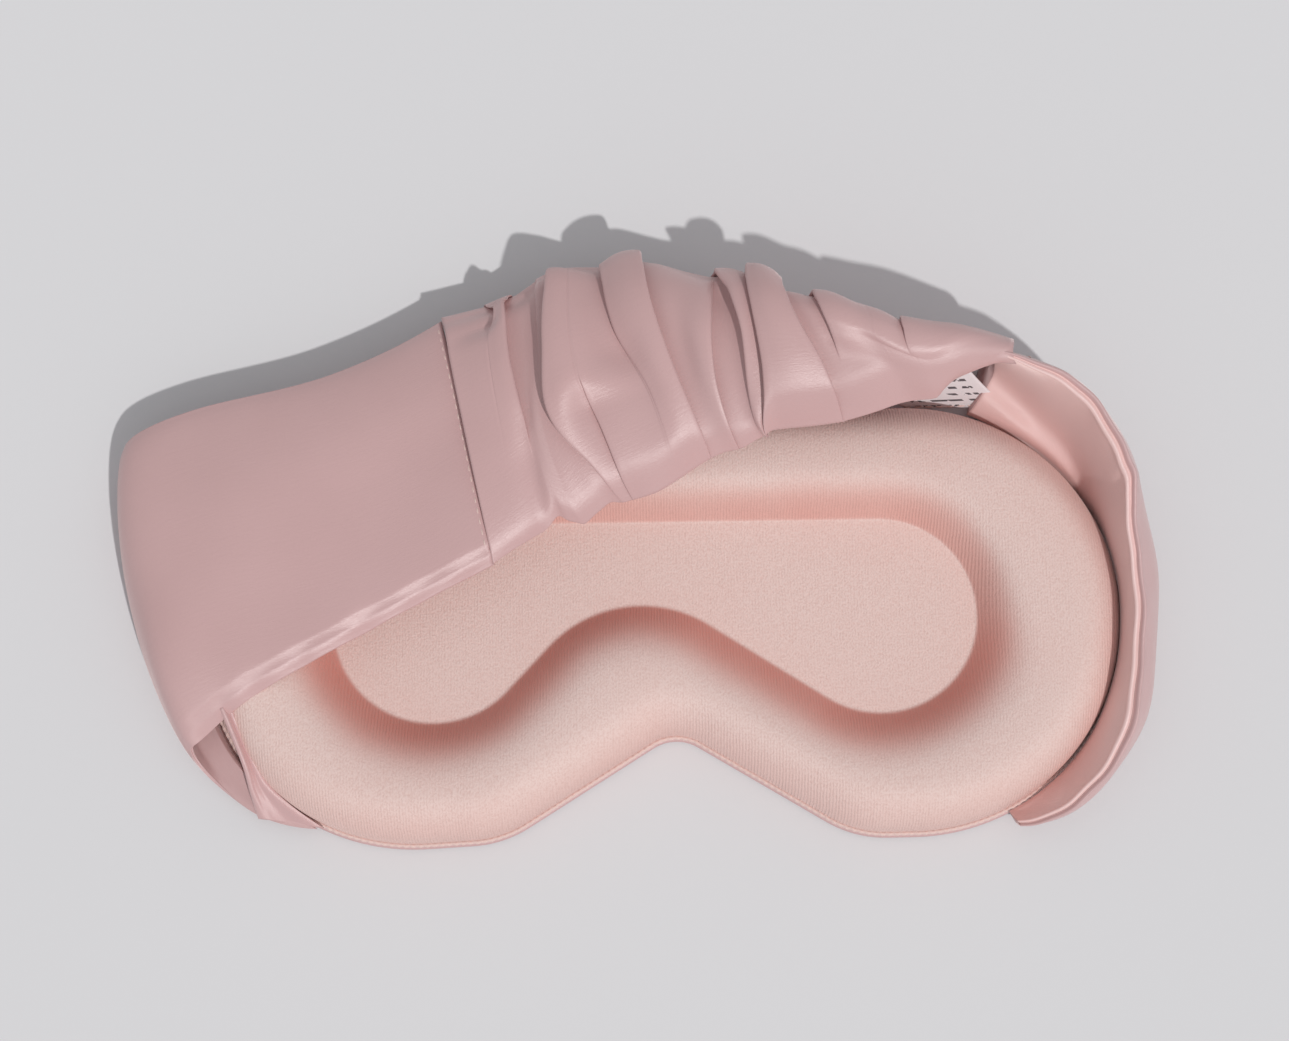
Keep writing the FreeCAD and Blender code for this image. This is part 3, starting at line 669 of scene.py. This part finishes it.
# knife pleats: +1 when the left facet lies on top, then (place across, place along, overlap, height)
PLEATS = [
    (-1, ((0, 0.5, 0, 0), (2.7, 0.6, 0, 0), (3.3, 0.78, 1.2, 2.0), (3.8, 0.78, 1.5, 2.6),
          (4.5, 0.66, 1.5, 2.2), (6, 0.6, 1, 1.2))),
    (1, ((0, 1.1, 0, 0), (1.1, 1.08, 0, 0), (1.6, 1.04, 1.5, 2.0), (2.2, 0.99, 2.6, 3.6),
         (4.4, 1.04, 3.0, 3.6), (6, 1.1, 1.5, 1.8))),
    (-1, ((0, 1.7, 0, 0), (1.6, 1.8, 0, 0), (2.2, 1.84, 1.0, 1.0), (3, 1.82, 1.6, 1.3),
          (4.4, 1.76, 1.6, 1.3), (6, 1.7, 1, 0.8))),
    (-1, ((0, 2.34, 1.0, 0.9), (0.45, 2.26, 2.0, 1.8), (0.92, 2.05, 3.4, 3.6), (1.3, 1.93, 4.2, 4.8),
          (2, 2.0, 4.0, 4.4), (4.4, 2.14, 3.0, 3.4), (6, 2.2, 1.5, 1.8))),
    (-1, ((0, 2.5, 1.0, 1.2), (0.45, 2.5, 1.8, 2.0), (0.9, 2.48, 1.6, 2.0), (1.3, 2.42, 0.3, 0.6),
          (1.5, 2.4, 0, 0), (6, 2.5, 0, 0))),
    (-1, ((0, 3.3, 0, 0), (1.2, 3.1, 0, 0.5), (1.7, 2.98, 0.4, 1.4), (2.6, 3.0, 1.8, 2.8),
          (4.4, 3.03, 2.4, 3.0), (6, 3.1, 1.2, 1.6))),
    (1, ((0, 3.98, 1.6, 1.6), (0.4, 4.03, 2.4, 2.6), (1.35, 4.0, 3.4, 3.6), (2.4, 3.98, 3.4, 3.6),
         (4.4, 3.98, 3.0, 3.0), (6, 4.0, 1.2, 1.6))),
    (1, ((0, 4.55, 1.0, 1.0), (1, 4.68, 2.4, 3.2), (1.9, 4.9, 2.8, 4.2), (2.7, 5.12, 2.4, 3.0),
         (3.5, 5.2, 0, 0), (6, 5.0, 0, 0))),
    (-1, ((0, 5.3, 0, 0), (0.6, 5.35, 0.6, 0.8), (1.7, 5.62, 1.8, 3.0), (2.75, 5.56, 2.4, 3.8),
          (3.3, 5.32, 2.6, 3.6), (3.8, 5.1, 2.2, 2.6), (4.5, 5.0, 2, 2.0), (6, 5.0, 1.2, 1.2))),
    (-1, ((0, 5.75, 1.6, 1.2), (0.4, 5.93, 2.2, 2.8), (1, 5.98, 2.6, 3.6), (2.2, 6.0, 2.6, 3.8),
          (4.2, 5.98, 2.4, 3.2), (6, 6.0, 1.2, 1.4))),
    (1, ((0, 7.0, 1.5, 1.0), (0.4, 7.03, 1.8, 2.2), (1, 7.0, 2.2, 2.8), (1.9, 7.0, 2.4, 3.0),
         (3.4, 6.86, 2.4, 3.0), (4.4, 6.76, 2.0, 1.8), (6, 6.7, 1.0, 1.2))),
    (-1, ((0, 7.3, 0, 0), (1.2, 7.32, 0, 0), (1.7, 7.46, 1.0, 1.6), (2.5, 7.54, 1.8, 2.6),
          (3.1, 7.46, 1.6, 2.2), (6, 7.6, 1, 1.2))),
    (1, ((0, 8.3, 0, 0), (3.8, 8.3, 0, 0), (4.6, 8.25, 1.6, 1.4), (6, 8.1, 1.6, 1.4))),
    (-1, ((0, 8.9, 0, 0), (2.4, 8.8, 0, 0), (3.0, 8.76, 0.9, 1.1), (3.6, 8.8, 0.9, 1.2),
          (4.4, 8.95, 0.8, 1.2), (6, 9, 1, 1.4))),
]

# soft folds and hollows without an overlap: (place across, place along, height, half-width)
SOFT_FOLDS = [
    ((0, 1.02, -1.3, 3.0), (1.0, 0.95, -1.4, 3.0), (1.6, 0.95, 0, 3), (6, 0.9, 0, 3)),
    ((0, 1.5, 0, 4), (1.5, 1.5, -0.6, 4), (2.2, 1.5, -1.6, 4), (4.4, 1.45, -1.6, 4), (6, 1.4, 0, 4)),
    ((0, 5.0, 0, 2), (0.5, 5.02, -0.8, 2.6), (1.9, 5.25, -1.6, 3), (2.8, 5.35, -1.5, 2.5),
     (3.3, 5.3, 0, 2), (6, 5.3, 0, 2)),
    ((0, 1.5, 0.9, 4), (0.5, 1.6, 0.9, 4), (1.0, 1.6, 0, 4), (6, 1.6, 0, 4)),
    ((0, 3.1, 0.5, 6), (0.5, 3.1, 0, 6), (1.2, 3.05, -0.9, 5), (1.8, 2.8, -1.1, 4), (2.6, 2.75, -0.8, 4),
     (4.4, 2.8, -0.4, 3), (6, 2.8, 0, 3)),
    ((0, 3.5, 0.8, 4), (1.0, 3.5, 0.9, 4), (2.2, 3.55, 0.2, 4), (6, 3.5, 0, 4)),
    ((0, 2.1, 0, 3), (0.9, 2.2, 0.3, 3), (1.2, 2.2, 1.4, 3), (1.6, 2.3, 0.6, 4), (2.4, 2.4, 0, 4),
     (6, 2.4, 0, 4)),
    ((0, 4.25, -0.6, 3), (1.5, 4.3, -1.0, 3), (2.6, 4.5, 0, 4), (6, 4.5, 0, 4)),
    ((0, 6.5, 0.6, 5), (1.5, 6.5, 0.6, 5), (6, 6.5, 0.5, 5)),
    ((0, 7.6, 1.2, 5), (0.8, 7.8, 0.5, 6), (1.8, 8.1, -0.8, 4), (6, 8.2, -0.6, 4)),
    ((0, 9.3, 0, 3), (1.2, 9.35, -0.5, 3), (3, 9.2, 0, 3), (4.6, 9.6, 0, 3), (5.2, 9.7, -1.0, 3),
     (6, 9.6, -1.1, 4)),
    ((3, 10.3, 0, 3), (4.7, 10.3, 0, 3), (5.3, 10.4, 0.9, 3), (6, 10.4, 0.7, 3)),
]
# small waves of the hem over the mask: place along, half-width, shift to the forehead, lift
HEM_WAVES = ((1.25, 0.14, 2.2, 0.8), (1.72, 0.16, -1.6, -0.5), (2.15, 0.12, 1.0, 0.5),
             (4.6, 0.25, -0.6, -0.4), (5.6, 0.25, -1.2, 0.4))
# the hem over the mask turns down: place along, width of the turned strip
HEM_DROP = ((0, 2), (1, 3), (2, 4), (2.6, 7), (3.4, 7.5), (4, 5), (5, 3.5), (5.95, 4), (6.1, 7), (7, 8),
            (8.2, 10), (9, 8), (10, 4), (11, 2))
HEM_SLOPE = 0.4
FACET_PUFF = 0.45
FACET_STEPS = 15
FOLD_TURNS = (75, 38, 0, -38, -75)


def smoothed(values, reach):
    """Values along the last axis with their corners rounded."""
    kernel = np.exp(-((np.arange(-3 * reach, 3 * reach + 1) / reach) ** 2))
    kernel /= kernel.sum()
    padded = np.pad(values, 3 * reach, mode="edge")
    return np.convolve(padded, kernel, mode="valid")


def edge_radius(height):
    """Radius of a pleat's visible edge."""
    return min(0.27 * height, 0.6)


def fold_edge(place, overlap, height, way, spread):
    """The turn between two facets: round the visible edge, back under it, and round again."""
    r_edge, r_under = edge_radius(height), min(0.2 * height, 0.45)
    turns = [math.radians(a) for a in FOLD_TURNS]
    points = [(r_edge * (math.cos(a) - 1), height - r_edge + r_edge * math.sin(a)) for a in turns]
    points.append((-0.5 * overlap, 0.5 * (height - 2 * r_edge + 2 * r_under)))
    points += [(-overlap - r_under * (math.cos(a) - 1), r_under + r_under * math.sin(a)) for a in turns]
    shaped = np.array([(place + way * x, z) for x, z in points])
    shaped = shaped if way > 0 else shaped[::-1]
    shaped[:, 0] += (1 - ease(overlap / 0.9)) * np.linspace(-spread, spread, len(shaped))
    return shaped


def pleat_levels(knots, pleats):
    """Height of the cloth just left and right of each knot; a fading pleat floats between its neighbours."""
    own = [(0.0, 0.0)] + [(h, 0.0) if way > 0 else (0.0, h) for way, _, _, h in pleats] + [(0.0, 0.0)]
    fade = [0.0] + [1 - ease(h / 1.5) for _, _, _, h in pleats] + [0.0]
    levels = list(own)
    for _ in range(4):
        for k in range(1, len(levels) - 1):
            before, after = knots[k] - knots[k - 1], knots[k + 1] - knots[k]
            between = (levels[k - 1][1] * after + levels[k + 1][0] * before) / (before + after)
            levels[k] = tuple(float(side + fade[k] * between) for side in own[k])
    return levels


def pleated_row(line, net_u, pleats, soft, puff):
    """One row along the sleeve with its pleats.

    Returns where the outer ply's points lie along the line, their heights, where the unpleated inner ply's
    points lie, and the running length of the line.
    """
    running = running_length(line)
    knots = [0.0]
    for way, u, overlap, height in pleats:
        knots.append(max(float(np.interp(u, net_u, running)), knots[-1] + 0.8))
    knots.append(max(running[-1], knots[-1] + 0.8))
    overlaps = [0.0]
    for k, (way, u, overlap, height) in enumerate(pleats, start=1):
        room = knots[k] - knots[k - 1] if way > 0 else knots[k + 1] - knots[k]
        overlaps.append(min(overlap, 0.45 * room))
    levels = pleat_levels(knots, pleats)
    outer, plain = [], []
    for k in range(len(pleats) + 1):
        a, b = knots[k], knots[k + 1]
        from_a, from_b, high_a, high_b = a, b, 0.0, 0.0
        if k > 0:
            way, _, _, height = pleats[k - 1]
            from_a = a - overlaps[k] if way > 0 else a + edge_radius(height)
            high_a = levels[k][1]
        if k < len(pleats):
            way, _, _, height = pleats[k]
            from_b = b - edge_radius(height) if way > 0 else b + overlaps[k + 1]
            high_b = levels[k + 1][0]
        t = np.linspace(0, 1, FACET_STEPS + 2)[1:-1]
        slant = 0.7 * t + 0.3 * ease(t)
        outer.append(np.stack([from_a + (from_b - from_a) * t, high_a + (high_b - high_a) * slant], axis=1))
        plain.append(a + (b - a) * t)
        if k < len(pleats):
            room = min(b - a, knots[k + 2] - b)
            level = min(levels[k + 1])
            edge = fold_edge(b, overlaps[k + 1], pleats[k][3], pleats[k][0], 0.05 * room)
            edge[:, 1] += level
            outer.append(edge)
            plain.append(b + np.linspace(-0.02, 0.02, len(edge)) * (b - a))
    outer, plain = np.concatenate(outer), np.concatenate(plain)
    swell = np.full(len(outer), puff)
    for knot, (_, _, _, height) in zip(knots[1:-1], pleats):
        swell *= 1 - min(1.0, height) * bump_at(outer[:, 0], knot, 2.4)
    for u, height, width in soft:
        swell += height * bump_at(outer[:, 0], float(np.interp(u, net_u, running)), width)
    outer[:, 1] += swell
    return np.clip(outer[:, 0], 0, running[-1]), outer[:, 1], np.clip(plain, 0, running[-1]), running


def on_line(places, running, values):
    return np.stack([np.interp(places, running, values[:, i]) for i in range(3)], axis=1)


def gathered_sleeve():
    """Outer and inner ply of the sleeve, and its unpleated middle surface with normals."""
    count_u, count_v = 331, 84
    u, v = np.linspace(0, 1, count_u), np.linspace(0, 1, count_v)
    net_u = u * (len(SLEEVE_NET) - 1)
    net_v = v * (len(SLEEVE_NET[0]) - 1)
    middle = surface(SLEEVE_NET, u, v)
    up = normals(middle)
    if up[40, 30, 2] < 0:
        up = -up
    near_hem = np.exp(-((net_v / 0.55) ** 2))[None, :]
    for place, width, shift, lift in HEM_WAVES:
        wave = bump_at(net_u, place, width)[:, None] * near_hem
        middle[..., 1] += wave * shift
        middle[..., 2] += wave * lift
    off_hem = cloth_length(middle, 1)
    strip_width = np.interp(net_u, *zip(*HEM_DROP))[:, None]
    middle = middle - up * (HEM_SLOPE * softplus(strip_width - off_hem, 0.9))[..., None]
    tracks = []
    for way, keys in PLEATS:
        keys = np.array(keys, float)
        tracks.append((way, [smoothed(np.interp(net_v, keys[:, 0], keys[:, k]), 3) for k in (1, 2, 3)]))
    soft_tracks = []
    for keys in SOFT_FOLDS:
        keys = np.array(keys, float)
        soft_tracks.append([smoothed(np.interp(net_v, keys[:, 0], keys[:, k]), 3) for k in (1, 2, 3)])
    outer, inner = [], []
    for j in range(count_v):
        pleats = [(way, *(float(track[j]) for track in values)) for way, values in tracks]
        soft = [tuple(float(track[j]) for track in values) for values in soft_tracks]
        line, lifts = middle[:, j], up[:, j]
        puff = FACET_PUFF * (0.35 + 0.65 * min(1.0, net_v[j] / 1.2))
        places, heights, plain, running = pleated_row(line, net_u, pleats, soft, puff)
        lift = unit(on_line(places, running, lifts))
        heights = heights * (1 - 0.6 * ease((net_v[j] - 3.5) / 1.0)) - 0.9 * ease((net_v[j] - 3.2) / 1.2)
        off_hem = min(j, count_v - 1 - j) * STRAP_WIDTH / (count_v - 1)
        roll = 1 - math.exp(-off_hem / 4.5)
        off_middle = -0.2 + 1.7 * roll + heights[:, None] * (0.5 + 0.5 * roll)
        outer.append(on_line(places, running, line) + lift * off_middle)
        inner.append(on_line(plain, running, line) - unit(on_line(plain, running, lifts)) * 0.95)
    return np.stack(outer, axis=1), np.stack(inner, axis=1), middle, up


sleeve_outer, sleeve_inner, sleeve_middle, sleeve_up = gathered_sleeve()
sleeve = band("gathered_sleeve", sleeve_outer, sleeve_inner, satin)

# right panel: stands beside the mask with its two plies parted; (out, height) from sewn edge to hem
RIGHT_OUTER = [
    (56, ((6.6, 2.8), (11.8, 6), (15.8, 13.5), (15.9, 25), (13.1, 37))),
    (45, ((4.4, 2.8), (9.4, 5.2), (14.3, 12.5), (14.8, 24), (12.3, 35.3))),
    (33, ((3.1, 2.8), (7.8, 4.9), (12.5, 12), (13.1, 22.7), (10, 33.2))),
    (20, ((3.1, 2.8), (6.8, 4.9), (9.8, 10.6), (9.4, 19.5), (5.2, 29))),
    (5, ((3.1, 2.8), (6.6, 4.9), (9, 10), (8.2, 17.8), (3.6, 26.2))),
    (-12, ((3.1, 2.8), (6.6, 4.9), (8.8, 9.4), (8.1, 16.2), (4.2, 23.8))),
    (-27, ((3.1, 2.8), (7, 4.7), (9.8, 9), (10, 15.4), (7.4, 22.2))),
    (-41, ((3.1, 2.8), (6.6, 4.2), (9.8, 7.6), (10.8, 12), (9.5, 16.6))),
    (-53, ((3.1, 2.8), (5.6, 3.5), (8.3, 5.6), (9.6, 8.2), (9.3, 11.3))),
    (-64, ((2.9, 2.8), (3.9, 3.1), (5, 4.2), (5.6, 5.4), (5.9, 7))),
]
RIGHT_INNER = [
    (56, ((1.9, 2.8), (2.8, 7.4), (7.6, 9.6), (10.0, 20), (10.4, 36))),
    (45, ((1.8, 2.8), (2.2, 7.4), (5.6, 10.4), (7.6, 20), (9.4, 34))),
    (33, ((1.7, 2.8), (1.6, 6), (2.6, 10.5), (4.2, 19), (6.9, 31.6))),
    (20, ((1.7, 2.8), (1.0, 6), (0.5, 11), (0.9, 18), (2.5, 28))),
    (5, ((1.7, 2.8), (0.8, 6), (-0.1, 11), (-0.1, 17), (0.9, 25.2))),
    (-12, ((1.7, 2.8), (0.8, 6), (-0.1, 11), (0.1, 16), (1.3, 23))),
    (-27, ((1.7, 2.8), (1.0, 5.5), (0.6, 9.6), (1.8, 15), (4.2, 20.8))),
    (-41, ((1.7, 2.8), (1.4, 4.6), (2.2, 7.6), (4.4, 11.5), (6.9, 15.8))),
    (-53, ((1.7, 2.7), (1.9, 3.8), (3.2, 5.6), (5.0, 8), (7, 10.6))),
    (-64, ((1.7, 2.4), (2.1, 3), (2.8, 3.8), (3.6, 5), (4.2, 6.3))),
]
JOIN_OUTER = [(77.5, 63, 2.8), (77.5, 61.9, 10), (77.5, 60.9, 19), (77.5, 58.6, 28.5), (77.5, 55.3, 37.6)]
JOIN_INNER = [(73, 48.2, 2.8), (75.5, 51, 7.4), (79, 56.5, 9.5), (78, 59.2, 20), (77.5, 54.3, 37)]


def right_panel():
    """Outer and inner ply of the right panel, with a gentle swell and small waves in the hem."""
    u, v = np.linspace(0, 1, 210), np.linspace(0, 1, 56)
    U, V = np.meshgrid(u, v, indexing="ij")
    grids = []
    for join, stations in ((JOIN_OUTER, RIGHT_OUTER), (JOIN_INNER, RIGHT_INNER)):
        net = [join] + [[beside(1, angle, out, high) for out, high in row] for angle, row in stations]
        grids.append(surface(net, u, v))
    out = unit(grids[0] - grids[1])
    hem = ease((V - 0.8) / 0.2)
    crumple = (0.22 * np.sin(U * 33 + 2 * V) + 0.16 * np.sin(U * 71 + 1) + 0.8 * bump_at(U, 0.33, 0.02)) * hem
    grids[0] = grids[0] + out * (0.4 * np.sin(U * 26 + V * 4) * np.sin(V * math.pi) + crumple)[..., None]
    grids[1] = grids[1] + out * (crumple * 0.8)[..., None]
    return grids


right_outer, right_inner = right_panel()
right = band("right_strap_panel", right_outer, right_inner, satin)
right.data.materials.append(satin_painted_bright)
ACROSS, HEM = right_outer.shape[1], len(HEM_PROFILE)
FACES_ROUND = 2 * (ACROSS + HEM)
for k, face in enumerate(right.data.polygons):  # the inner ply gets a paler satin: painted light on faces turned away from the key light
    if k < (right_outer.shape[0] - 1) * FACES_ROUND and ACROSS + 3 <= k % FACES_ROUND < 2 * ACROSS + HEM:
        face.material_index = 1


# ---------------------------------------------------------------- elastic, stitching, label
ELASTIC_ACROSS = (0.22, 0.78)


def strip(name, along, low, high):
    """A flat strip inside the sleeve, from low to high above its middle surface; along is two shares."""
    spans = [slice(*(int(round(share * (count - 1))) for share in shares))
             for count, shares in zip(sleeve_middle.shape, (along, ELASTIC_ACROSS))]
    part, lift = sleeve_middle[tuple(spans)], sleeve_up[tuple(spans)]
    return band(name, part + lift * high, part + lift * low, elastic)


elastic_strip = strip("elastic_strip", (0.03, 0.97), -0.55, -0.25)
tack_left = strip("elastic_tack_a", (0.03, 0.06), -0.2, 0.1)
tack_right = strip("elastic_tack_b", (0.94, 0.97), -0.2, 0.1)


def row_on(points, mates, index, first=0.03, last=0.97, lift=0.12):
    """A line across a band on its outer ply, a little above it, with the way it faces."""
    count = points.shape[1]
    span = slice(int(first * count), int(last * count))
    up = unit(points[index, span] - mates[index, span])
    return points[index, span] + up * lift, up


left_root = stitches("left_root_stitches", [row_on(left_outer, left_inner, k) for k in (3, 6)], thread)
left_join = stitches("left_join_stitches", [row_on(left_outer, left_inner, -2, lift=-0.1)], thread)
right_join = stitches("right_join_stitches", [row_on(right_outer, right_inner, 9)], thread)
root_up = unit(right_outer[30:, 2] - right_inner[30:, 12])
right_root = stitches("right_root_stitches", [(right_outer[30:, 2] + root_up * 0.12, root_up)], thread)


def care_label_mesh():
    """A thin tape that stands on the perimeter seam and leans out; also its face and the way that looks."""
    rows, columns = 26, 30
    half = LABEL_WIDTH / 2
    A, H = np.meshgrid(np.linspace(-half, half, rows), np.linspace(0, LABEL_LENGTH, columns), indexing="ij")
    lean = 0.30 * H + 0.012 * H**2
    curl = 0.5 * np.sin(A / 7.5) * (H / LABEL_LENGTH)
    x, y, z = LABEL_FOOT
    face = np.stack([x + A - 0.75 * H, y + lean + curl, z + H * 0.8], axis=-1)
    out = normals(face)
    front, rear = face - out * 0.17, face + out * 0.17
    points = np.concatenate([front.reshape(-1, 3), rear.reshape(-1, 3)])
    count = rows * columns
    faces = grid_faces(rows, columns) + [f[::-1] for f in grid_faces(rows, columns, start=count)]
    border = [i * columns for i in range(rows)] + [count - columns + j for j in range(1, columns)]
    border += [i * columns - 1 for i in range(rows - 1, 0, -1)] + list(range(columns - 2, 0, -1))
    faces += [(b, a, a + count, b + count) for a, b in zip(border, border[1:] + border[:1])]
    uv = np.stack([A + half, H], axis=-1).reshape(-1, 2)
    return add_mesh("blank_care_label", points, faces, tape, np.concatenate([uv, uv])), face, out


label, label_face, label_out = care_label_mesh()
label_line = (label_face[:, 2] + label_out[:, 2] * 0.3, label_out[:, 2])
label_thread = stitches("label_stitches", [label_line], thread)

# ---------------------------------------------------------------- floor, light, camera
bpy.ops.mesh.primitive_plane_add(size=1)
floor = bpy.context.object
floor.name = "studio_floor"
floor.data.transform(Matrix.Diagonal((8.0, 8.0, 1.0, 1.0)))
floor.data.materials.append(floor_grey)

sun = bpy.data.objects.new("key_sun", bpy.data.lights.new("key_sun", "SUN"))
sun.data.energy = 1.70
sun.data.angle = math.radians(1.6)
sun.data.color = (1.0, 0.985, 0.97)
sun.rotation_euler = Vector((0.35, -0.62, 1.0)).to_track_quat("Z", "Y").to_euler()
bpy.context.scene.collection.objects.link(sun)

world = bpy.data.worlds.new("studio")
world.use_nodes = True
world.node_tree.nodes["Background"].inputs["Color"].default_value = (0.45, 0.45, 0.46, 1.0)
world.node_tree.nodes["Background"].inputs["Strength"].default_value = 1.0
bpy.context.scene.world = world
bpy.context.scene.view_settings.view_transform = "Standard"

# the camera stands 0.7 m up, looks down at 80 degrees, and is turned a little about its own axis
tilt, roll = math.radians(80.0), math.radians(1.2)
back = Vector((0, -math.cos(tilt), math.sin(tilt)))
right_way, up_way = Vector((1, 0, 0)), back.cross(Vector((1, 0, 0)))
axis_x = right_way * math.cos(roll) - up_way * math.sin(roll)
axis_y = right_way * math.sin(roll) + up_way * math.cos(roll)
camera = bpy.data.objects.new("camera", bpy.data.cameras.new("camera"))
camera.data.sensor_width = 36.0
camera.data.lens = 80.15
camera.data.clip_start = 0.05
camera.data.clip_end = 20.0
camera.matrix_world = Matrix.Translation(Vector((-6.4, -97.65, 689.4)) * MM) @ Matrix(
    (axis_x, axis_y, back)
).transposed().to_4x4()
bpy.context.scene.collection.objects.link(camera)
bpy.context.scene.camera = camera

# ---------------------------------------------------------------- what each piece stands for
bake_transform(left)
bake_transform(right)
for piece, body, slot_name, nodes in (
    (lining, "mask", "jersey", ("back_lining",)),
    (core, "mask", "foam", ("foam_core",)),
    (cover, "mask", "satin", ("front_cover",)),
    (overlock, "mask", "thread", ("perimeter_overlock",)),
    (left, None, "satin", ("left_panel_outer_ply", "left_panel_inner_ply", "left_panel_hem_seams")),
    (corner, "mask", "satin", ()),
    (sleeve, "strap", "satin", ("sleeve_outer_ply", "sleeve_inner_ply", "sleeve_hem_seams")),
    (right, None, "satin", ("right_panel_outer_ply", "right_panel_inner_ply", "right_panel_hem_seams")),
    (elastic_strip, "strap", "elastic", ("elastic_band",)),
    (tack_left, "strap", "elastic", ("elastic_tack_left",)),
    (tack_right, "strap", "elastic", ("elastic_tack_right",)),
    (left_root, "mask", "thread", ("left_root_seam",)),
    (left_join, "strap", "thread", ("left_gather_seam",)),
    (right_join, "strap", "thread", ("right_gather_seam",)),
    (right_root, "mask", "thread", ("right_root_seam",)),
    (label, "mask", "label_tape", ("care_label",)),
    (label_thread, "mask", "thread", ("label_stitch",)),
):
    if body:  # the two panels are attached to no body
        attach(piece, body)
    if nodes:
        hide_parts(*nodes)
